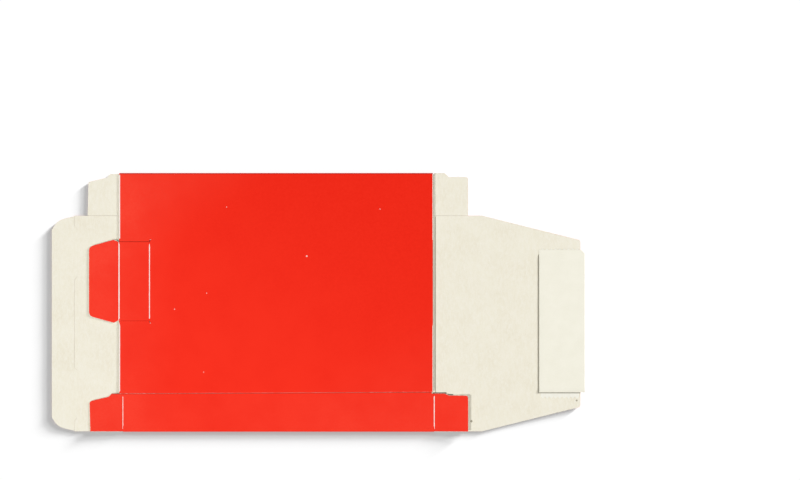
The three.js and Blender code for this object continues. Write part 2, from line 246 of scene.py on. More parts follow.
def rounded(corners, steps=6):
    """The closed outline through corners (x, y) or (x, y, radius), with those that have a radius rounded."""
    points = []
    count = len(corners)
    for index, corner in enumerate(corners):
        here = Vector(corner[:2])
        if len(corner) < 3:
            points.append((here.x, here.y))
            continue
        before = Vector(corners[index - 1][:2]) - here
        after = Vector(corners[(index + 1) % count][:2]) - here
        start = here + before.normalized() * min(corner[2], before.length / 2)
        end = here + after.normalized() * min(corner[2], after.length / 2)
        for step in range(steps + 1):
            t = step / steps
            point = start * (1 - t) ** 2 + here * 2 * t * (1 - t) + end * t ** 2
            points.append((point.x, point.y))
    return points


def mirrored(corners, middle):
    """The same corners mirrored about the line y = middle, in the opposite order."""
    return [(corner[0], 2 * middle - corner[1], *corner[2:]) for corner in reversed(corners)]


def on_root(a, b, roots):
    """Whether the edge from a to b lies on a crease where another sheet continues."""
    for x, low, high, _ in roots:
        beside = abs(a[0] - x) < TOUCHING and abs(b[0] - x) < TOUCHING
        start, end = sorted((a[1], b[1]))
        if beside and low - TOUCHING <= start and end <= high + TOUCHING:
            return True
    return False


def signed_area(points):
    pairs = zip(points, points[1:] + points[:1])
    return sum(a[0] * b[1] - b[0] * a[1] for a, b in pairs) / 2


def inset(points, roots, amount, straight=0.05, most=4):
    """The counter-clockwise outline moved inwards, apart from its stretches on a crease."""
    result = []
    for index, here in enumerate(points):
        before = points[index - 1]
        after = points[(index + 1) % len(points)]
        first = (Vector(here) - Vector(before)).normalized()
        second = (Vector(after) - Vector(here)).normalized()
        normals = [Vector((-first.y, first.x)), Vector((-second.y, second.x))]
        moves = [
            0.0 if on_root(before, here, roots) else amount,
            0.0 if on_root(here, after, roots) else amount,
        ]
        cross = first.x * second.y - first.y * second.x
        if abs(cross) < straight:
            # A crease never moves, so a straight join with one doesn't either
            shift = (normals[0] + normals[1]) / 2 * min(moves)
        else:
            # The point where both moved edges meet
            shift = (second * moves[0] - first * moves[1]) / cross
            if shift.length > most * amount:
                shift = shift.normalized() * most * amount
        result.append((here[0] + shift.x, here[1] + shift.y))
    return result


def lines_between(low, high, pitch, extra=()):
    """Evenly spaced places between low and high, joined with the extra ones that lie there."""
    count = max(1, round((high - low) / pitch))
    even = [low + (high - low) * step / count for step in range(1, count)]
    close = [place for place in extra if low < place < high]
    kept = [place for place in even if all(abs(place - other) > pitch / 4 for other in close)]
    return sorted(kept + close)


def extent(points):
    """Least and greatest x, then least and greatest y."""
    xs, ys = zip(*points)
    return min(xs), max(xs), min(ys), max(ys)


def flat_mesh(points, xs, ys):
    """The outline filled and cut along the lines x = each of xs and y = each of ys."""
    work = bmesh.new()
    corners = [work.verts.new((x, y, 0)) for x, y in points]
    face = work.faces.new(corners)
    face.normal_update()
    bmesh.ops.triangulate(work, faces=[face], ngon_method="EAR_CLIP")
    for places, direction in ((xs, Vector((1, 0, 0))), (ys, Vector((0, 1, 0)))):
        for place in places:
            geometry = work.verts[:] + work.edges[:] + work.faces[:]
            bmesh.ops.bisect_plane(
                work, geom=geometry, dist=WELD, plane_co=direction * place, plane_no=direction
            )
    bmesh.ops.remove_doubles(work, verts=work.verts[:], dist=WELD)
    work.verts.ensure_lookup_table()
    work.verts.index_update()
    return work


def outer_place(place, inner, outer):
    """The point of the outer outline that belongs to a point on the inner one."""
    best = None
    count = len(inner)
    for index in range(count):
        a = Vector(inner[index])
        b = Vector(inner[(index + 1) % count])
        along = b - a
        t = min(1.0, max(0.0, (place - a).dot(along) / max(along.length_squared, 1e-12)))
        distance = (a + along * t - place).length
        if best is None or distance < best[0]:
            start = Vector(outer[index])
            end = Vector(outer[(index + 1) % count])
            best = (distance, start.lerp(end, t))
    return best[1]


# From the outside face round the cut edge to the inside face: height as a share of half the board's
# thickness, and how far out the point lies as a share of the trim
EDGE_PROFILE = (
    (1.0, 0.0),
    (0.97, RIM / TRIM),
    (0.62, 1 - 0.3 * EDGE_BULGE / TRIM),
    (0.0, 1.0),
    (-0.62, 1 - 0.3 * EDGE_BULGE / TRIM),
    (-0.97, RIM / TRIM),
    (-1.0, 0.0),
)
# The material of each step round the edge, where it lies free and where it closes a slit. At a closed slit
# the print's material also covers the cut edge, as painted shade in the slit
FREE_EDGE = (0, 0, 2, 2, 2, 1)
SLIT_EDGE = (0, 0, 0, 2, 2, 1)


def join_chains(out, first, second, materials):
    """The faces of a cut edge between two profiles, of which one may be just the two face points."""
    if len(first) == len(second):
        for step, material in enumerate(materials):
            corners = [first[step], first[step + 1], second[step + 1], second[step]]
            out.faces.new(corners).material_index = material
        return
    short, whole = sorted((first, second), key=len)
    middle = len(whole) // 2
    for step, material in enumerate(materials):
        corner = short[0] if step < middle else short[-1]
        out.faces.new([corner, whole[step], whole[step + 1]]).material_index = material
    out.faces.new([short[0], whole[middle], short[-1]]).material_index = 2


def crease_weight(x, v, creases, spread, margin=0.0):
    """How strongly a crease shows at a place: its strength on the line, falling to 0 beside it.

    A crease is (x, low, high, strength) or, across the sheet, ("y", v, low, high, strength).
    """
    best = 0.0
    for crease in creases:
        if crease[0] == "y":
            distance, along, low, high, strength = v - crease[1], x, *crease[2:]
        else:
            distance, along, low, high, strength = x - crease[0], v, *crease[1:]
        ends = min(along - low - margin, high - margin - along)
        fade = min(1.0, max(0.0, ends / CREASE_FADE + 0.5))
        best = max(best, strength * fade * math.exp(-((distance / spread) ** 2)))
    return best


def plain_wear(x, v):
    return PLAIN_WEAR


def placed(name, data):
    """A new object in the scene that shows the data."""
    thing = bpy.data.objects.new(name, data)
    bpy.context.scene.collection.objects.link(thing)
    return thing


def finished_piece(name, out, sharp_degrees):
    """The object of the faces built so far, smooth apart from its sharp edges."""
    bmesh.ops.recalc_face_normals(out, faces=out.faces[:])
    for face in out.faces:
        face.smooth = True
    mesh = bpy.data.meshes.new(name)
    out.to_mesh(mesh)
    out.free()
    mesh.set_sharp_from_angle(angle=math.radians(sharp_degrees))
    return placed(name, mesh)


def board(name, points, roots, creases, place, xs, ys, edge_wear_and_shade=plain_wear, inside_lines=()):
    """A sheet of board with its outside, inside and cut edges.

    place(x, v, w) gives the point of the row frame for a point of the flat outline at w from the
    middle of the board, counted towards the outside. edge_wear_and_shade(x, v) says how far the print
    has chipped along the cut edge there, and below 0 gives the painted shade beside a closed slit.
    inside_lines are the creases that show as a dark line on the inside.
    """
    if signed_area(points) < 0:
        points = points[::-1]
    inner = inset(points, roots, TRIM)
    work = flat_mesh(inner, xs, ys)
    half = BOARD / 2
    out = bmesh.new()
    crack_layer = out.verts.layers.float.new("crack")
    rim_layer = out.verts.layers.float.new("rim")
    rest_layer = out.verts.layers.float_vector.new("rest_mm")

    def point(x, v, w):
        strength = crease_weight(x, v, creases, CREASE_SPREAD)
        depth = (GROOVE_DEPTH if w > 0 else BEAD_HEIGHT) * strength * abs(w) / half
        spot = place(x, v, w - depth)
        vert = out.verts.new(Vector(spot) / 1000)
        if w > 0:
            vert[crack_layer] = crease_weight(x, v, creases, CRACK_SPREAD, CRACK_MARGIN)
        else:
            vert[crack_layer] = crease_weight(x, v, inside_lines, INSIDE_LINE_SPREAD)
        vert[rest_layer] = spot
        return vert

    def chain_at(vert, on_edge):
        here = vert.co.to_2d()
        there = outer_place(here, inner, points) if on_edge else here
        if (there - here).length < TOUCHING:
            return [point(here.x, here.y, half), point(here.x, here.y, -half)]
        chain = []
        for share, reach in EDGE_PROFILE:
            spot = here.lerp(there, reach)
            chain.append(point(spot.x, spot.y, half * share))
        chain[1][rim_layer] = edge_wear_and_shade(there.x, there.y)
        chain[2][rim_layer] = chain[1][rim_layer]
        return chain

    rim_edges = [edge for edge in work.edges if len(edge.link_faces) == 1]
    on_edge = {vert.index for edge in rim_edges for vert in edge.verts}
    chains = {vert.index: chain_at(vert, vert.index in on_edge) for vert in work.verts}
    for face in work.faces:
        order = [chains[vert.index] for vert in face.verts]
        out.faces.new([chain[0] for chain in order]).material_index = 0
        out.faces.new([chain[-1] for chain in reversed(order)]).material_index = 1
    for edge in rim_edges:
        first, second = (chains[vert.index] for vert in edge.verts)
        on_crease = on_root(edge.verts[0].co, edge.verts[1].co, roots)
        if on_crease or len(first) == len(second) == 2:
            out.faces.new(first + second[::-1]).material_index = 2
        else:
            middle = (edge.verts[0].co + edge.verts[1].co) / 2
            closed = edge_wear_and_shade(middle.x, middle.y) < 0
            join_chains(out, first, second, SLIT_EDGE if closed else FREE_EDGE)
    work.free()
    return finished_piece(name, out, BOARD_SHARP_DEGREES)


# Shape of the sheets in space

def ripple(x, y, wave):
    """A gentle unevenness of the board, given as (height, size, seed)."""
    height, size, seed = wave
    return height * noise.noise(Vector((x / size, y / size, seed)))


def front_lift(x, y):
    """How far the front panel lies above or below its nominal height."""
    from_fold = min(1.0, max(0.0, (UPPER_FOLD_Y - y) / FRONT_RUN))
    from_seam = min(1.0, max(0.0, (y - SEAM_Y - GLUE_FLAP) / FRONT_RUN))
    waves = sum(ripple(x, y, wave) for wave in FRONT_WAVES)
    loose = max(0.0, 1 - (x - FRONT_LEFT) / LOOSE_RUN) * max(0.0, 1 - (y - SEAM_Y) / LOOSE_RUN)
    return from_fold * (from_seam * (waves - FRONT_SINK) + FRONT_RISE) + LOOSE_CORNER * loose


def back_lift(x, y):
    """How far the end walls lie above the surface beyond the glued tube."""
    beyond = max(LEFT_CREASE - x, x - RIGHT_CREASE, 0.0)
    return min(beyond / WALL_RUN, 1.0) * (WALL_RISE + ripple(x, y, WALL_WAVE))


def round_fold(x, run, w, fold_y, radius, outer, side):
    """A point at run along a fold's half circle, which bulges towards side."""
    turn = run / radius
    reach = radius + w
    return (x, fold_y + side * reach * math.sin(turn), outer - reach * math.cos(turn))


def body_place(x, v, w):
    """The glued tube: v is y on the back panel and upper side, and runs on round both folds."""
    inside_lower = LOWER_LEFT_CREASE - CREASE_SLACK <= x <= LOWER_RIGHT_CREASE + CREASE_SLACK
    if v < LOWER_FOLD_Y and inside_lower:
        run = LOWER_FOLD_Y - v
        if run < LOWER_FOLD_LENGTH:
            return round_fold(x, run, w, LOWER_FOLD_Y, LOWER_FOLD_RADIUS, LOWER_FOLD_OUTER, -1)
        return (x, LOWER_FOLD_Y + run - LOWER_FOLD_LENGTH, LOWER_SIDE_Z + w)
    if v > UPPER_FOLD_Y:
        run = v - UPPER_FOLD_Y
        if run < UPPER_FOLD_LENGTH:
            return round_fold(x, run, w, UPPER_FOLD_Y, UPPER_FOLD_RADIUS, UPPER_FOLD_OUTER, 1)
        y = UPPER_FOLD_Y - (run - UPPER_FOLD_LENGTH)
        return (x, y, FRONT_Z + w + front_lift(x, y))
    return (x, v, BACK_Z - w + back_lift(x, v))


def front_v(y):
    """The flat coordinate of a place on the front panel, or the place of a flat coordinate."""
    return 2 * UPPER_FOLD_Y + UPPER_FOLD_LENGTH - y


def lower_side_v(y):
    """The flat coordinate of a place on the lower side and its glue flap."""
    return 2 * LOWER_FOLD_Y - LOWER_FOLD_LENGTH - y


def tuck_line():
    """The line between the left end wall and the tuck flap, from the lower edge to the upper one."""
    lower = [
        (SLIT_X, WALL_LOW),
        (SLIT_X, WALL_LOW + END_SLIT),
        (TUCK_CREASE, WALL_LOW + END_SLIT + SLIT_SLANT),
        (TUCK_CREASE, BACK_MIDDLE_Y - CENTRE_SLIT / 2 - SLIT_SLANT),
        (SLIT_X, BACK_MIDDLE_Y - CENTRE_SLIT / 2),
    ]
    return lower + mirrored(lower, BACK_MIDDLE_Y)


def near(*places):
    """The fine lines that a crease needs beside each place."""
    return [place + step for place in places for step in CREASE_LINES]


def slit_shade(x, y):
    """The painted shade beside the tongue's slits, of which the upper one shows darker."""
    return UPPER_SLIT_SHADE if y > TONGUE_MIDDLE else LOWER_SLIT_SHADE


def make_body():
    seam = front_v(SEAM_Y)
    slot_low = TONGUE_LOW - SLIT_GAP
    slot_high = TONGUE_HIGH + SLIT_GAP
    hook_end = TONGUE_CREASE + HOOK_X - HOOK_WIDTH
    fold_end = lower_side_v(LOWER_FOLD_Y)
    glue_right = FRONT_RIGHT - GLUE_INSET
    glue_root = lower_side_v(LOWER_EDGE + SIDE_DEPTH)
    glue_end = lower_side_v(LOWER_EDGE + SIDE_DEPTH + GLUE_FLAP)
    corners = [
        (LOWER_LEFT_CREASE + GLUE_TAPER, glue_end),
        (glue_right - GLUE_TAPER, glue_end),
        (glue_right, glue_root),
        (glue_right, lower_side_v(SEAM_Y - SEAM_SKEW)),
        (LOWER_RIGHT_CREASE, lower_side_v(SEAM_Y - SEAM_SKEW)),
        (LOWER_RIGHT_CREASE, lower_side_v(LOWER_RIGHT_HIGH.y)),
        (LOWER_RIGHT_CREASE, fold_end),
        (LOWER_RIGHT_CREASE, LOWER_FOLD_Y),
        (LOWER_RIGHT_CREASE + WALL_NOTCH, WALL_LOW),
        (CLOSING_CREASE, WALL_LOW),
        (CLOSING_CREASE, WALL_HIGH),
        (UPPER_RIGHT_CREASE, WALL_HIGH),
        (UPPER_RIGHT_CREASE, UPPER_FLAP_ROOT),
        (UPPER_RIGHT_CREASE, UPPER_FOLD_Y),
        (FRONT_RIGHT, UPPER_FOLD_Y + FOLD_NOTCH),
        (FRONT_RIGHT, seam - SEAM_SKEW, FRONT_CORNER),
        (FRONT_LEFT, seam + SEAM_SKEW, FRONT_CORNER),
        (FRONT_LEFT, front_v(slot_low)),
        (TONGUE_CREASE - HOOK_WIDTH, front_v(slot_low)),
        (hook_end, front_v(slot_low - HOOK_Y)),
        (TONGUE_CREASE + HOOK_X, front_v(slot_low - HOOK_Y)),
        (TONGUE_CREASE, front_v(TONGUE_LOW)),
        (TONGUE_CREASE, front_v(TONGUE_HIGH)),
        (TONGUE_CREASE + HOOK_X, front_v(slot_high + HOOK_Y)),
        (hook_end, front_v(slot_high + HOOK_Y)),
        (TONGUE_CREASE - HOOK_WIDTH, front_v(slot_high)),
        (FRONT_LEFT, front_v(slot_high)),
        (FRONT_LEFT, UPPER_FOLD_Y + FOLD_NOTCH),
        (LEFT_CREASE, UPPER_FOLD_Y),
        (LEFT_CREASE, UPPER_FLAP_ROOT),
        (LEFT_CREASE, WALL_HIGH),
        *reversed(tuck_line()),
        (LOWER_LEFT_CREASE - WALL_NOTCH, WALL_LOW),
        (LOWER_LEFT_CREASE, LOWER_FOLD_Y),
        (LOWER_LEFT_CREASE, fold_end),
        (LOWER_LEFT_CREASE, lower_side_v(LOWER_LEFT_HIGH.y)),
        (LOWER_LEFT_CREASE, glue_root),
    ]
    roots = [
        (LOWER_RIGHT_CREASE, lower_side_v(LOWER_RIGHT_HIGH.y), fold_end, 1.0),
        (LOWER_LEFT_CREASE, lower_side_v(LOWER_LEFT_HIGH.y), fold_end, SOFT_CRACK),
        (CLOSING_CREASE, WALL_LOW, WALL_HIGH, FAINT),
        (UPPER_RIGHT_CREASE, UPPER_FLAP_ROOT, UPPER_FOLD_Y, 1.0),
        (LEFT_CREASE, UPPER_FLAP_ROOT, UPPER_FOLD_Y, 1.0),
        (TUCK_CREASE, WALL_LOW, WALL_HIGH, FAINT),
        (TONGUE_CREASE, front_v(TONGUE_HIGH), front_v(TONGUE_LOW), 1.0),
    ]
    creases = [
        *roots,
        (LEFT_CREASE, WALL_LOW, WALL_HIGH, 1.0),
        (RIGHT_CREASE, WALL_LOW, WALL_HIGH, 1.0),
        ("y", BACK_CREASE_Y, LEFT_CREASE, UPPER_RIGHT_CREASE, 1.0),
    ]
    fine_xs = near(
        TUCK_CREASE, LEFT_CREASE, LOWER_LEFT_CREASE, TONGUE_CREASE, UPPER_RIGHT_CREASE,
        RIGHT_CREASE, CLOSING_CREASE,
    )
    xs = lines_between(SLIT_X, CLOSING_CREASE, GRID, fine_xs)
    turns = [step / FOLD_STEPS for step in range(FOLD_STEPS + 1)]
    folds = [LOWER_FOLD_Y - LOWER_FOLD_LENGTH * turn for turn in turns]
    folds += [UPPER_FOLD_Y + UPPER_FOLD_LENGTH * turn for turn in turns]
    ys = lines_between(glue_end, seam, GRID, near(BACK_CREASE_Y) + folds)

    def edge_wear_and_shade(x, v):
        if v < UPPER_FOLD_Y + UPPER_FOLD_LENGTH:
            return FOLD_WEAR
        if abs(v - front_v(TONGUE_MIDDLE)) < TONGUE_HIGH - TONGUE_MIDDLE + 1:
            return slit_shade(x, front_v(v))
        if v > seam - 1:
            return SEAM_WEAR
        return LEFT_EDGE_WEAR if x < FRONT_LEFT + 0.1 else RIGHT_EDGE_WEAR

    inside_lines = [(LEFT_CREASE, WALL_LOW, WALL_HIGH, 0.5), (RIGHT_CREASE, WALL_LOW, WALL_HIGH, 1.0)]
    return board("board_tube", rounded(corners), roots, creases, body_place, xs, ys, edge_wear_and_shade, inside_lines)


def flat_place(z, outside, lift):
    """A flat flap whose middle lies at z. outside is 1 where its printed side faces up, or -1."""
    def place(x, y, w):
        return (x, y, z + outside * w + lift(x, y))
    return place


def make_flap(name, corners, crease, z, outside, lift, strength=1.0, other_roots=(), edge_wear_and_shade=plain_wear):
    """A flap that hangs on the crease x = crease, where its outline has its root edge."""
    points = rounded(corners)
    left, right, low, high = extent(points)
    roots = [(crease, low, high, strength), *other_roots]
    xs = lines_between(left, right, FLAP_GRID, near(*[root[0] for root in roots]))
    ys = lines_between(low, high, FLAP_GRID)
    return board(name, points, roots, roots, flat_place(z, outside, lift), xs, ys, edge_wear_and_shade)


def curl(crease, depth, rise, start=0.0, steepness=6):
    """A flap that bows up from its crease, reaching rise at its far edge."""
    def lift(x, y):
        share = min(1.0, abs(x - crease) / depth)
        return start * min(1.0, share * steepness) + rise * share ** 2
    return lift


def make_tuck(name):
    (slope_x, slope_y), (end_x, end_y) = TUCK_SLOPE
    upper = [
        (SLIT_X, WALL_HIGH - TUCK_END_INSET),
        (TUCK_LOW.x + slope_x, WALL_HIGH - slope_y, TUCK_RADIUS),
        (TUCK_LOW.x + end_x, WALL_HIGH - end_y),
    ]
    corners = tuck_line()[1:-1] + upper + mirrored(upper, BACK_MIDDLE_Y)
    rise = curl(TUCK_CREASE, TUCK_CREASE - TUCK_LOW.x, TUCK_RISE)

    def lift(x, y):
        return back_lift(TUCK_CREASE, y) + rise(x, y)

    return make_flap(name, corners, TUCK_CREASE, BACK_Z, -1, lift, FAINT)


def make_tongue_base(name):
    ends = ((TIP_CREASE, TONGUE_LOW), (TONGUE_CREASE, TONGUE_LOW))
    corners = [*ends, (TONGUE_CREASE, TONGUE_HIGH), (TIP_CREASE, TONGUE_HIGH)]
    other = [(TIP_CREASE, TONGUE_LOW, TONGUE_HIGH, TIP_CRACK)]
    return make_flap(
        name, corners, TONGUE_CREASE, FRONT_Z, 1, tongue_lift, other_roots=other, edge_wear_and_shade=slit_shade
    )


def tongue_lift(x, y):
    reach = TONGUE_CREASE - x
    sink = TONGUE_SINK * min(1.0, reach / TONGUE_RUN)
    return front_lift(x, y) - sink + TIP_CURL * max(0.0, reach - TONGUE_RUN) ** 1.5


def make_tongue_tip(name):
    upper = [(TIP_CREASE, TONGUE_HIGH)]
    for reach, rise, *radius in TIP_SHOULDER:
        upper.append((TIP_CREASE - reach, TONGUE_HIGH + rise, *radius))
    upper.append((TIP_LOW.x, TONGUE_HIGH - TIP_SLOPE, TIP_RADIUS))
    corners = upper + mirrored(upper, TONGUE_MIDDLE)
    return make_flap(name, corners, TIP_CREASE, FRONT_Z, 1, tongue_lift, TIP_CRACK)


def left_flap_corners(crease, root, end, far, shape):
    neck, step, drop, radius, lean_end, lean_root = shape
    neck_x = crease - neck
    return [
        (crease, root),
        (crease, end),
        (neck_x, end),
        (neck_x - step, end - step),
        (far + lean_end, end - drop, radius),
        (far + lean_root, root),
    ]


def make_upper_left(name):
    corners = left_flap_corners(
        LEFT_CREASE, UPPER_FLAP_ROOT, UPPER_LEFT_HIGH.y, UPPER_LEFT_LOW.x, UPPER_LEFT_SHAPE
    )
    lift = curl(LEFT_CREASE, *UPPER_LEFT_CURL)
    return make_flap(name, corners, LEFT_CREASE, BACK_Z, -1, lift)


def make_lower_left(name):
    corners = left_flap_corners(
        LOWER_LEFT_CREASE, WALL_LOW, LOWER_LEFT_HIGH.y, LOWER_LEFT_LOW.x, LOWER_LEFT_SHAPE
    )
    lift = curl(LOWER_LEFT_CREASE, *LOWER_LEFT_CURL)
    return make_flap(name, corners, LOWER_LEFT_CREASE, LOWER_SIDE_Z, 1, lift, SOFT_CRACK)


def right_flap_corners(crease, root, far, step):
    side = 1 if far > root else -1
    return [
        (crease, root),
        (crease, far),
        (crease + RIGHT_NECK, far),
        (crease + RIGHT_SHOULDER, far - side * step),
        (crease + RIGHT_REACH, far - side * step, RIGHT_RADIUS),
        (crease + RIGHT_REACH, root),
    ]


def make_upper_right(name):
    corners = right_flap_corners(UPPER_RIGHT_CREASE, UPPER_FLAP_ROOT, UPPER_RIGHT_HIGH.y, UPPER_RIGHT_STEP)
    lift = curl(UPPER_RIGHT_CREASE, *UPPER_RIGHT_CURL)
    return make_flap(name, corners, UPPER_RIGHT_CREASE, BACK_Z, -1, lift)


def make_lower_right(name):
    corners = right_flap_corners(LOWER_RIGHT_CREASE, WALL_LOW, LOWER_RIGHT_HIGH.y, LOWER_RIGHT_STEP)
    lift = curl(LOWER_RIGHT_CREASE, *LOWER_RIGHT_CURL)
    return make_flap(name, corners, LOWER_RIGHT_CREASE, LOWER_SIDE_Z, 1, lift)


def closing_lift(x, y):
    share = max(0.0, (x - CLOSING_CREASE) / (CLOSING_HIGH.x - CLOSING_CREASE))
    wall = back_lift(CLOSING_CREASE, y) * (1 - min(1, share / CLOSING_FADE))
    return wall + CLOSING_RISE * share ** 2 + CLOSING_START * share


def make_closing(name):
    upper = [
        (CLOSING_CREASE, WALL_HIGH),
        (CLOSING_CREASE + CLOSING_SHOULDER, WALL_HIGH),
        (CLOSING_HIGH.x, WALL_HIGH - CLOSING_SLOPE, CLOSING_RADIUS),
    ]
    corners = upper + mirrored(upper, BACK_MIDDLE_Y)
    return make_flap(name, corners, CLOSING_CREASE, BACK_Z, -1, closing_lift, FAINT)


def thin_strip(name, points, bottom, thickness, lift):
    """A thin strip lying on the closing flap, with a top, a bottom and a plain edge."""
    left, right, low, high = extent(points)
    xs = lines_between(left, right, STRIP_GRID)
    ys = lines_between(low, high, STRIP_GRID)
    work = flat_mesh(points, xs, ys)
    out = bmesh.new()
    rest_layer = out.verts.layers.float_vector.new("rest_mm")

    def point(vert, height):
        x, y = vert.co.x, vert.co.y
        spot = (x, y, bottom + height + lift(x, y))
        made = out.verts.new(Vector(spot) / 1000)
        made[rest_layer] = spot
        return made

    tops = [point(vert, thickness) for vert in work.verts]
    bases = [point(vert, 0.0) for vert in work.verts]
    for face in work.faces:
        order = [vert.index for vert in face.verts]
        out.faces.new([tops[index] for index in order])
        out.faces.new([bases[index] for index in reversed(order)])
    for edge in work.edges:
        if len(edge.link_faces) == 1:
            a, b = (vert.index for vert in edge.verts)
            out.faces.new([tops[a], tops[b], bases[b], bases[a]])
    work.free()
    return finished_piece(name, out, STRIP_SHARP_DEGREES)


def zigzag(right, left, y):
    """The toothed upper end of the tape, from its right edge to its left."""
    teeth = max(1, round((right - left) / TOOTH_PITCH))
    pitch = (right - left) / teeth
    corners = []
    for tooth in range(teeth):
        corners.append((right - tooth * pitch, y))
        corners.append((right - (tooth + 0.5) * pitch, y + TOOTH_DEPTH))
    return corners + [(left, y)]


def make_tape():
    upper = zigzag(TAPE_HIGH.x, TAPE_LOW.x, TAPE_HIGH.y - TOOTH_DEPTH)
    corners = upper + mirrored(upper, (TAPE_LOW.y + TAPE_HIGH.y) / 2)
    bottom = TAPE_LOW.z + TAPE_CLEARANCE
    return thin_strip("tape_strip", corners, bottom, TAPE_HIGH.z - TAPE_LOW.z, closing_lift)


def liner_lift(x, y):
    """The liner lies on the tape and rises a little at its free margins."""
    below_top = min(1.0, (LINER_HIGH.y - y) / LINER_TOP_RUN)
    from_left = max(0.0, 1 - (x - LINER_LOW.x) / LINER_LEFT_RUN) * below_top
    from_low = max(0.0, 1 - (y - LINER_LOW.y) / LINER_LOW_RUN)
    beyond = max(0.0, x - CLOSING_HIGH.x + LINER_END_RUN)
    margins = LINER_LEFT_RISE * from_left ** 2 + LINER_LOW_RISE * from_low ** 2
    margins += LINER_END_SLOPE * beyond
    return closing_lift(x, y) + margins + ripple(x, y, LINER_WAVE)


def make_liner():
    corners = [
        (LINER_LOW.x, LINER_LOW.y),
        (LINER_HIGH.x, LINER_LOW.y),
        (LINER_HIGH.x, LINER_HIGH.y - LINER_CHAMFER),
        (LINER_HIGH.x - LINER_CHAMFER, LINER_HIGH.y),
        (LINER_LOW.x, LINER_HIGH.y),
    ]
    bottom = LINER_LOW.z + LINER_CLEARANCE
    return thin_strip("release_liner_paper", corners, bottom, LINER_PAPER, liner_lift)


# Materials

def new_material(name):
    material = bpy.data.materials.new(name)
    material.use_nodes = True
    tree = material.node_tree
    shader = tree.nodes["Principled BSDF"]
    return material, tree, shader


def add(tree, kind, **values):
    node = tree.nodes.new(kind)
    for key, value in values.items():
        setattr(node, key, value)
    return node


def attribute(tree, name, output="Fac"):
    return add(tree, "ShaderNodeAttribute", attribute_name=name).outputs[output]


def rest_position(tree):
    """The place in millimetres in the row frame, stored on each point so that it moves along with the piece.
    """
    return attribute(tree, "rest_mm", "Vector")


def axes_of(vector):
    """The X, Y and Z sockets of a vector."""
    tree = vector.id_data
    split = add(tree, "ShaderNodeSeparateXYZ")
    tree.links.new(vector, split.inputs[0])
    return split.outputs


def noise_of(vector, scale, detail=3.0, rough=0.55, stretch=None):
    """Noise over the place in millimetres. scale is in cells per millimetre."""
    tree = vector.id_data
    if stretch:
        mapping = add(tree, "ShaderNodeMapping")
        mapping.inputs["Scale"].default_value = stretch
        tree.links.new(vector, mapping.inputs["Vector"])
        vector = mapping.outputs["Vector"]
    node = add(tree, "ShaderNodeTexNoise")
    node.inputs["Scale"].default_value = scale
    node.inputs["Detail"].default_value = detail
    node.inputs["Roughness"].default_value = rough
    tree.links.new(vector, node.inputs["Vector"])
    return node.outputs["Fac"]


def ranged(value, low, high, to_low, to_high, smooth=False):
    tree = value.id_data
    node = add(tree, "ShaderNodeMapRange")
    if smooth:
        node.interpolation_type = "SMOOTHSTEP"
    numbers = {"From Min": low, "From Max": high, "To Min": to_low, "To Max": to_high}
    for key, number in numbers.items():
        node.inputs[key].default_value = number
    tree.links.new(value, node.inputs["Value"])
    return node.outputs["Result"]


def maths(operation, first, second):
    """The operation on two sockets, of which the second may be a number."""
    tree = first.id_data
    node = add(tree, "ShaderNodeMath", operation=operation)
    tree.links.new(first, node.inputs[0])
    if isinstance(second, (int, float)):
        node.inputs[1].default_value = second
    else:
        tree.links.new(second, node.inputs[1])
    return node.outputs["Value"]


def total(socket, *others):
    for other in others:
        socket = maths("ADD", socket, other)
    return socket


def product(socket, *others):
    for other in others:
        socket = maths("MULTIPLY", socket, other)
    return socket


# The colour sockets of a Mix node, which come after those for numbers and vectors
MIX_INPUTS = (6, 7)
MIX_RESULT = 2


def mixed(factor, first, second):
    """A colour mixed from two, each a colour or a socket."""
    tree = factor.id_data
    node = add(tree, "ShaderNodeMix", data_type="RGBA")
    tree.links.new(factor, node.inputs["Factor"])
    for index, value in zip(MIX_INPUTS, (first, second)):
        if isinstance(value, tuple):
            node.inputs[index].default_value = (*value, 1)
        else:
            tree.links.new(value, node.inputs[index])
    return node.outputs[MIX_RESULT]


def layered(base, *layers):
    """The base colour with each (mask, colour) laid over it in turn."""
    for mask, colour in layers:
        base = mixed(mask, base, colour)
    return base


def finish(shader, colour, roughness, specular, relief):
    """Sets up a shader. The relief is (height, strength, distance)."""
    tree = shader.id_data
    tree.links.new(colour, shader.inputs["Base Color"])
    if isinstance(roughness, float):
        shader.inputs["Roughness"].default_value = roughness
    else:
        tree.links.new(roughness, shader.inputs["Roughness"])
    shader.inputs["Specular IOR Level"].default_value = specular
    height, strength, distance = relief
    bump = add(tree, "ShaderNodeBump")
    bump.inputs["Strength"].default_value = strength
    bump.inputs["Distance"].default_value = distance
    tree.links.new(height, bump.inputs["Height"])
    tree.links.new(bump.outputs["Normal"], shader.inputs["Normal"])


# Colours
# The red is painted lighter towards the lower left and some edges and darker towards the upper right, as
# painted light and shade
RED_LOWER_LEFT = (0.965, 0.0255, 0.008)
RED_PAINTED_LIGHT = (0.97, 0.056, 0.029)
RED_UPPER_RIGHT = (0.87, 0.0155, 0.0025)
RED_DEEP = (0.86, 0.012, 0.002)
CRACK_WHITE = (0.95, 0.79, 0.73)
RIM_WHITE = (0.98, 0.88, 0.83)
# The next two are painted shade: in the slits and along the upper fold, and below the seam
SHADE_RED = (0.36, 0.007, 0.002)
SEAM_SHADE_BROWN = (0.26, 0.05, 0.025)
PAPER_INSIDE = (0.88, 0.84, 0.70)
PAPER_INSIDE_DARK = (0.825, 0.77, 0.62)
PAPER_INSIDE_LIGHT = (0.91, 0.875, 0.76)
INSIDE_LINE = (0.27, 0.24, 0.165)
FLECK = (0.5, 0.43, 0.33)
STAIN = (0.14, 0.11, 0.05)
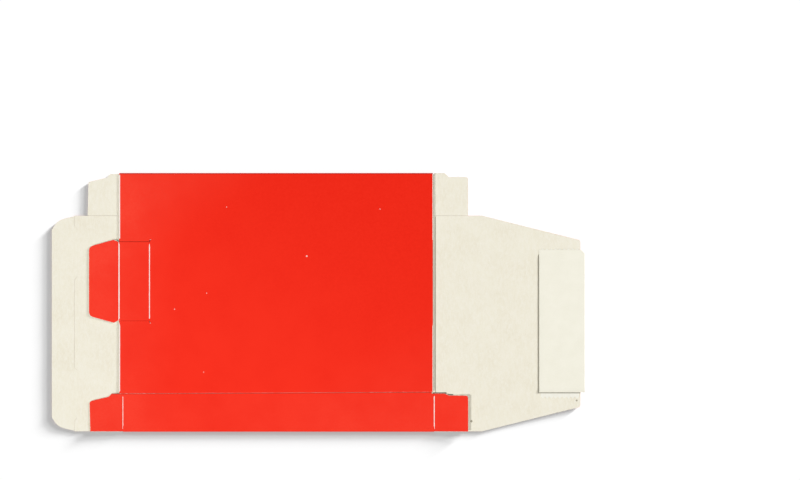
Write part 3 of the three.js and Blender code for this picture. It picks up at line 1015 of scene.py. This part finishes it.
# The next two are painted shade: in the gap beside the lower right dust flap, and beside the liner's edges
GAP_SHADE_BROWN = (0.11, 0.085, 0.045)
LINER_SHADOW_GREY = (0.36, 0.335, 0.265)
PAPER_EDGE = (0.88, 0.82, 0.72)
PAPER_EDGE_DARK = (0.76, 0.69, 0.58)
TAPE_PALE = (0.935, 0.92, 0.825)
TAPE_DULL = (0.89, 0.87, 0.765)
LINER_PALE = (0.925, 0.90, 0.775)
LINER_DULL = (0.89, 0.865, 0.735)
LINER_LIGHT = (0.945, 0.92, 0.815)
FLOOR_GREY = (0.82, 0.82, 0.82)
SEAM_SHADE_SHARE = 0.6
GAP_SHADE_SHARE = 0.95
LINER_SHADOW_SHARE = 0.85

# The painted shade below the seam, and the stretches of painted shade in the gap beside the lower right
# flap, counted from its crease
SEAM_SHADE_WIDTH = 0.55
GAP_NECK_END = 6.2
GAP_STEP = (6.6, 9.6)

# Painted light and shade on the red: where it deepens towards the upper right and where it gets lighter, as
# direction (x, y), start, end and share reached
PAINTED_SHADE_FIELD = (0.55, 1, -65, 70, 1)
PAINTED_LIGHT_FIELDS = (
    (-1, 0, 65, 118, 0.75),
    (-0.7, 1, 75, 125, 0.6),
    (0.6, -1, 30, 80, 0.3),
    (0, -1, 44, 48, 0.3),
)


def dots(vector, cell, radius, share):
    """Sparse round specks: one in some of the cells, cell millimetres apart."""
    tree = vector.id_data
    cells = add(tree, "ShaderNodeTexVoronoi", feature="F1", voronoi_dimensions="3D")
    cells.inputs["Scale"].default_value = 1 / cell
    tree.links.new(vector, cells.inputs["Vector"])
    near_dot = ranged(cells.outputs["Distance"], radius / cell, 0.6 * radius / cell, 0, 1)
    split = add(tree, "ShaderNodeSeparateColor")
    tree.links.new(cells.outputs["Color"], split.inputs["Color"])
    chosen = maths("GREATER_THAN", split.outputs["Red"], 1 - share)
    return product(near_dot, chosen)


# Specks and spots as (x, y, radius) in millimetres
PRINT_SPECKS = (
    (-5.7, 23.4, 0.55),
    (-46.2, 48.2, 0.3),
    (31.3, 47.2, 0.3),
    (-56.3, 4.7, 0.3),
    (-72.5, -3.4, 0.32),
    (-57.8, -35.2, 0.28),
)
BARE_SPOTS = ((77.5, -60.1, 0.75), (130.7, -49.6, 0.6))


def spots(vector, places):
    """A mask that is 1 within each of the round spots, seen along z."""
    tree = vector.id_data
    flat = add(tree, "ShaderNodeVectorMath", operation="MULTIPLY")
    flat.inputs[1].default_value = (1, 1, 0)
    tree.links.new(vector, flat.inputs[0])
    mask = None
    for x, y, radius in places:
        away = add(tree, "ShaderNodeVectorMath", operation="DISTANCE")
        away.inputs[1].default_value = (x, y, 0)
        tree.links.new(flat.outputs["Vector"], away.inputs[0])
        spot = ranged(away.outputs["Value"], radius, 0.5 * radius, 0, 1)
        mask = spot if mask is None else maths("MAXIMUM", mask, spot)
    return mask


def slope(axes, across, up, low, high, reach):
    """A mask that grows from 0 to reach along a direction over the board."""
    along = total(product(axes["X"], across), product(axes["Y"], up))
    return ranged(along, low, high, 0, reach, smooth=True)


def seam_shade(axes):
    """A mask of the narrow painted shade on the lower side, right below the slightly sloping seam."""
    tilt = 2 * SEAM_SKEW / (FRONT_RIGHT - FRONT_LEFT)
    level = SEAM_Y - SEAM_SKEW - tilt * FRONT_LEFT
    across = total(product(axes["X"], -tilt), axes["Y"])
    below = ranged(across, level - SEAM_SHADE_WIDTH, level - 0.1, 0, SEAM_SHADE_SHARE)
    above = ranged(across, level, level + 0.1, 1, 0)
    upper_board = ranged(axes["Z"], BOARD, 1.5 * BOARD, 0, 1)
    return product(below, above, upper_board)


def patch(axes, low, high, soft):
    """A mask of a rectangle on the board, with soft edges."""
    sides = []
    for axis, start, end in (("X", low[0], high[0]), ("Y", low[1], high[1])):
        sides.append(ranged(axes[axis], start - soft, start + soft, 0, 1))
        sides.append(ranged(axes[axis], end - soft, end + soft, 1, 0))
    return product(*sides)


def gap_shade(axes):
    """A mask of painted shade on the right end wall, in the gap beside the lower right dust flap."""
    top = LOWER_RIGHT_HIGH.y
    neck_end, start, end = (LOWER_RIGHT_CREASE + reach for reach in (GAP_NECK_END, *GAP_STEP))
    neck = patch(axes, (FRONT_RIGHT, top - 0.2), (neck_end, top + 0.5), 0.15)
    step = patch(axes, (start, top - 1.0), (end, top - 0.4), 0.2)
    return product(maths("MAXIMUM", neck, step), GAP_SHADE_SHARE)


def painted_liner_shadow(axes):
    """A mask of the painted shadow along the liner's left and lower edges."""
    left = total(product(axes["X"], -1), LINER_LOW.x)
    low = total(product(axes["Y"], -1), LINER_LOW.y)
    outside = maths("MAXIMUM", left, low)
    inner = ranged(outside, -0.6, -0.4, 0, LINER_SHADOW_SHARE)
    outer = ranged(outside, 0.35, 0.8, 1, 0)
    below_top = ranged(axes["Y"], LINER_HIGH.y - 3.0, LINER_HIGH.y - 2.2, 1, 0)
    return product(inner, outer, below_top)


def red_field(rest, axes):
    """The red of the print with its cloudy tone and fine mottle, and painted light and shade in its wide
    changes across the sheet.
    """
    base = mixed(slope(axes, *PAINTED_SHADE_FIELD), RED_LOWER_LEFT, RED_UPPER_RIGHT)
    lighter = total(*[slope(axes, *field) for field in PAINTED_LIGHT_FIELDS])
    cloud = ranged(noise_of(rest, 0.05, 4), 0.4, 0.75, 0, 0.4)
    mottle = ranged(noise_of(rest, 0.9, 4, 0.7), 0.35, 0.7, 0, 0.45)
    return layered(base, (lighter, RED_PAINTED_LIGHT), (cloud, RED_DEEP), (mottle, RED_LOWER_LEFT))


def crack_masks(tree, rest):
    """Masks of the ragged cracks in the print at the creases, and of a deeper red round them."""
    crack = attribute(tree, "crack")
    ragged = product(noise_of(rest, 2.2, 5, 0.7), 0.75)
    along = product(noise_of(rest, 0.35, 2), 0.5)
    worn = ranged(total(crack, ragged, along), 1.12, 1.42, 0, 1, smooth=True)
    cracked = product(worn, ranged(crack, 0.12, 0.35, 0, 1))
    return cracked, ranged(crack, 0.02, 0.8, 0, 0.25)


def rim_masks(tree, rest):
    """Masks of the print chipped off along the cut edges, and of the painted shade in the closed slits."""
    rim = attribute(tree, "rim")
    ragged = product(noise_of(rest, 1.8, 4, 0.7), 0.6)
    worn = ranged(total(rim, ragged), 0.95, 1.15, 0, 1, smooth=True)
    chipped = product(worn, ranged(rim, 0.05, 0.2, 0, 1))
    return chipped, ranged(rim, -0.78, -1.0, 0, 0.8)


def printed_material():
    material, tree, shader = new_material("printed_red_board")
    rest = rest_position(tree)
    axes = axes_of(rest)
    cracked, darker_round_creases = crack_masks(tree, rest)
    chipped, slit = rim_masks(tree, rest)
    base = layered(
        red_field(rest, axes),
        (product(spots(rest, PRINT_SPECKS), 0.8), CRACK_WHITE),
        (darker_round_creases, RED_DEEP),
        # Painted shade in the narrow closed slits
        (slit, SHADE_RED),
        # Painted shade along the upper fold, darkest towards its outer edge
        (ranged(axes["Y"], UPPER_EDGE - 0.5, UPPER_EDGE - 0.15, 0, 0.7), SHADE_RED),
        # Painted shade below the seam, cast by the front panel's lower edge
        (seam_shade(axes), SEAM_SHADE_BROWN),
        (cracked, CRACK_WHITE),
        (chipped, RIM_WHITE),
    )
    bared = maths("MAXIMUM", cracked, chipped)
    satin = ranged(noise_of(rest, 1.4, 4), 0.3, 0.7, 0.58, 0.70)
    rough = total(satin, product(bared, 0.3))
    fibre = noise_of(rest, 1.6, 5, 0.6, stretch=(0.6, 1.5, 1.0))
    height = total(fibre, product(bared, 0.8))
    finish(shader, base, rough, 0.13, (height, 0.25, 0.00006))
    return material


def bare_material():
    material, tree, shader = new_material("bare_inside_board")
    rest = rest_position(tree)
    axes = axes_of(rest)
    blotch = noise_of(rest, 0.09, 4)
    fibre = noise_of(rest, 0.75, 5, 0.7, stretch=(1.3, 0.55, 1.0))
    pulp = noise_of(rest, 2.6, 4, 0.8)
    base = layered(
        PAPER_INSIDE,
        (ranged(blotch, 0.35, 0.7, 0, 0.7), PAPER_INSIDE_DARK),
        (ranged(fibre, 0.38, 0.68, 0, 0.95), PAPER_INSIDE_LIGHT),
        (ranged(pulp, 0.52, 0.74, 0, 0.8), PAPER_INSIDE_DARK),
        (product(dots(rest, 3.1, 0.16, 0.25), 0.25), FLECK),
        (ranged(attribute(tree, "crack"), 0.1, 0.75, 0, 0.9), INSIDE_LINE),
        (product(spots(rest, BARE_SPOTS), 0.7), STAIN),
        # Painted shadow beside the liner's left and lower edges
        (painted_liner_shadow(axes), LINER_SHADOW_GREY),
        # Painted shade in the gap beside the lower right dust flap
        (gap_shade(axes), GAP_SHADE_BROWN),
    )
    height = total(fibre, product(pulp, 0.6))
    finish(shader, base, 0.88, 0.2, (height, 0.35, 0.00008))
    return material


def edge_material():
    material, tree, shader = new_material("cut_board_edge")
    rest = rest_position(tree)
    layers = noise_of(rest, 1.5, 4, 0.7, stretch=(0.5, 0.5, 6.0))
    base = mixed(ranged(layers, 0.35, 0.7, 0, 1), PAPER_EDGE, PAPER_EDGE_DARK)
    finish(shader, base, 0.95, 0.15, (layers, 0.5, 0.0001))
    return material


def tape_material():
    material, tree, shader = new_material("adhesive_tape")
    rest = rest_position(tree)
    streak = noise_of(rest, 0.7, 4, 0.6, stretch=(1.8, 0.3, 1.0))
    dull = ranged(streak, 0.35, 0.7, 0, 1)
    # The same painted shadow beside the liner's edges, laid over the tape
    liner_shadow = painted_liner_shadow(axes_of(rest))
    base = layered(TAPE_PALE, (dull, TAPE_DULL), (liner_shadow, LINER_SHADOW_GREY))
    finish(shader, base, 0.4, 0.5, (streak, 0.2, 0.00005))
    return material


def liner_material():
    material, tree, shader = new_material("release_liner_paper")
    rest = rest_position(tree)
    cloud = noise_of(rest, 0.12, 4, 0.6)
    grain = noise_of(rest, 1.3, 4, 0.7)
    dull = ranged(cloud, 0.35, 0.7, 0, 1)
    light = ranged(grain, 0.45, 0.75, 0, 0.35)
    base = layered(LINER_PALE, (dull, LINER_DULL), (light, LINER_LIGHT))
    rough = ranged(cloud, 0.3, 0.7, 0.52, 0.62)
    finish(shader, base, rough, 0.3, (grain, 0.2, 0.00005))
    return material


printed = printed_material()
bare = bare_material()
cut_edge = edge_material()
tape_look = tape_material()
liner_look = liner_material()


def dress(piece, slot_name, *materials):
    for material in materials:
        piece.data.materials.append(material)


tube = make_body()
dress(tube, "printed_board", printed, bare, cut_edge)
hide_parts("carton_body")
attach(tube, "carton")

# Each flap: its maker, CAD node and slot, the bodies it joins, and the way it points along x
FLAPS = (
    (make_tuck, "tuck_flap", "bare_board", "carton", "tuck", -1),
    (make_tongue_base, "lock_tongue_base", "printed_board", "carton", "tongue_base", -1),
    (make_tongue_tip, "lock_tongue_tip", "printed_board", "tongue_base", "tongue_tip", -1),
    (make_upper_left, "upper_left_dust_flap", "bare_board", "carton", "upper_left_dust", -1),
    (make_lower_left, "lower_left_dust_flap", "printed_board", "carton", "lower_left_dust", -1),
    (make_upper_right, "upper_right_dust_flap", "bare_board", "carton", "upper_right_dust", 1),
    (make_lower_right, "lower_right_dust_flap", "printed_board", "carton", "lower_right_dust", 1),
    (make_closing, "closing_flap", "bare_board", "carton", "closing", 1),
)
for maker, node, slot_name, parent, child, outward in FLAPS:
    flap = maker(node + "_board")
    dress(flap, slot_name, printed, bare, cut_edge)
    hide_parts(node)
    x, y, z = (c / 1000 for c in HINGE[child + "_crease"])
    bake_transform(flap)

# The two strips on the closing flap
STRIPS = (
    (make_tape, "adhesive_strip", "tape", tape_look),
    (make_liner, "release_liner", "liner", liner_look),
)
for maker, node, slot_name, look in STRIPS:
    strip = maker()
    dress(strip, slot_name, look)
    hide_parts(node)
    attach(strip, "closing")


# Floor, light and camera

FLOOR_Z = -0.00005
FLOOR_HALF = 3.0
PHOTO_WIDTH, PHOTO_HEIGHT = 800, 480
MM_PER_PIXEL = 0.506
LEFT_CREASE_PIXEL = 119.2
LOWER_FOLD_PIXEL = 431.6
LENS = 100.0
SENSOR = 36.0
CLIP_END = 20.0
WORLD_SHARE = 0.27
# The area lamps, which light all but the floor: place, size and share of the full light
AREA_LAMPS = (
    ("left_lamp", (-1.35, -0.75, 1.25), 0.25, 0.40),
    ("right_lamp", (1.35, 0.55, 1.2), 0.8, 0.33),
)
# The suns that light only the floor: share of the full light, then elevation and angle in degrees
FLOOR_SUNS = (("low_floor_lamp", 0.40, 7.2, 8.0), ("high_floor_lamp", 0.27, 15.5, 14.0))
FLOOR_SUN_BEARING = 37.0
FLOOR_GLOW = 0.25


def make_floor():
    mesh = bpy.data.meshes.new("floor")
    signs = ((-1, -1), (1, -1), (1, 1), (-1, 1))
    corners = [(x * FLOOR_HALF, y * FLOOR_HALF, FLOOR_Z) for x, y in signs]
    mesh.from_pydata(corners, [], [(0, 1, 2, 3)])
    floor = placed("floor", mesh)
    material, tree, shader = new_material("white_floor")
    shader.inputs["Base Color"].default_value = (*FLOOR_GREY, 1)
    shader.inputs["Roughness"].default_value = 0.9
    shader.inputs["Specular IOR Level"].default_value = 0.0
    glow = add(tree, "ShaderNodeEmission")
    path = add(tree, "ShaderNodeLightPath")
    seen = maths("MAXIMUM", path.outputs["Is Camera Ray"], path.outputs["Is Glossy Ray"])
    seen = maths("MAXIMUM", seen, path.outputs["Is Transmission Ray"])
    tree.links.new(product(seen, FLOOR_GLOW), glow.inputs["Strength"])
    both = add(tree, "ShaderNodeAddShader")
    tree.links.new(shader.outputs["BSDF"], both.inputs[0])
    tree.links.new(glow.outputs["Emission"], both.inputs[1])
    output = tree.nodes["Material Output"]
    tree.links.new(both.outputs["Shader"], output.inputs["Surface"])
    mesh.materials.append(material)
    return floor


def add_lamp(name, data, place, floor, link_state):
    """A lamp at place, aimed at the middle, that includes or excludes the floor alone."""
    lamp = placed(name, data)
    lamp.location = place
    lamp.rotation_euler = (-Vector(place)).to_track_quat("-Z", "Y").to_euler()
    group = bpy.data.collections.new(name + "_receivers")
    group.objects.link(floor)
    group.collection_objects[0].light_linking.link_state = link_state
    lamp.light_linking.receiver_collection = group


def make_area_lamps(floor):
    for name, place, size, share in AREA_LAMPS:
        away = Vector(place)
        data = bpy.data.lights.new(name, "AREA")
        data.shape = "DISK"
        data.size = size
        # The power that gives a level surface this share of the full light
        data.energy = share * math.pi ** 2 * away.length_squared / (away.z / away.length)
        add_lamp(name, data, place, floor, "EXCLUDE")


def make_floor_suns(floor):
    bearing = math.radians(FLOOR_SUN_BEARING)
    for name, share, elevation, angle in FLOOR_SUNS:
        rise = math.radians(elevation)
        level = math.cos(rise)
        place = (level * math.cos(bearing), level * math.sin(bearing), math.sin(rise))
        data = bpy.data.lights.new(name, "SUN")
        data.angle = math.radians(angle)
        data.energy = share * math.pi / math.sin(rise)
        add_lamp(name, data, place, floor, "INCLUDE")


def make_world():
    world = bpy.data.worlds.new("studio")
    world.use_nodes = True
    tree = world.node_tree
    background = tree.nodes["Background"]
    background.inputs["Color"].default_value = (1, 1, 1, 1)
    path = add(tree, "ShaderNodeLightPath")
    seen = product(path.outputs["Is Camera Ray"], 1 - WORLD_SHARE)
    tree.links.new(total(seen, WORLD_SHARE), background.inputs["Strength"])
    bpy.context.scene.world = world


def make_camera():
    data = bpy.data.cameras.new("camera")
    data.lens = LENS
    data.sensor_width = SENSOR
    data.clip_end = CLIP_END
    camera = placed("camera", data)
    x = (PHOTO_WIDTH / 2 - LEFT_CREASE_PIXEL) * MM_PER_PIXEL + LEFT_CREASE
    y = (LOWER_FOLD_PIXEL - PHOTO_HEIGHT / 2) * MM_PER_PIXEL + LOWER_EDGE
    height = PHOTO_WIDTH * MM_PER_PIXEL * LENS / SENSOR
    camera.location = (x / 1000, y / 1000, height / 1000)
    bpy.context.scene.camera = camera


stage_floor = make_floor()
make_area_lamps(stage_floor)
make_floor_suns(stage_floor)
make_world()
make_camera()

bpy.context.scene.view_settings.view_transform = "Standard"
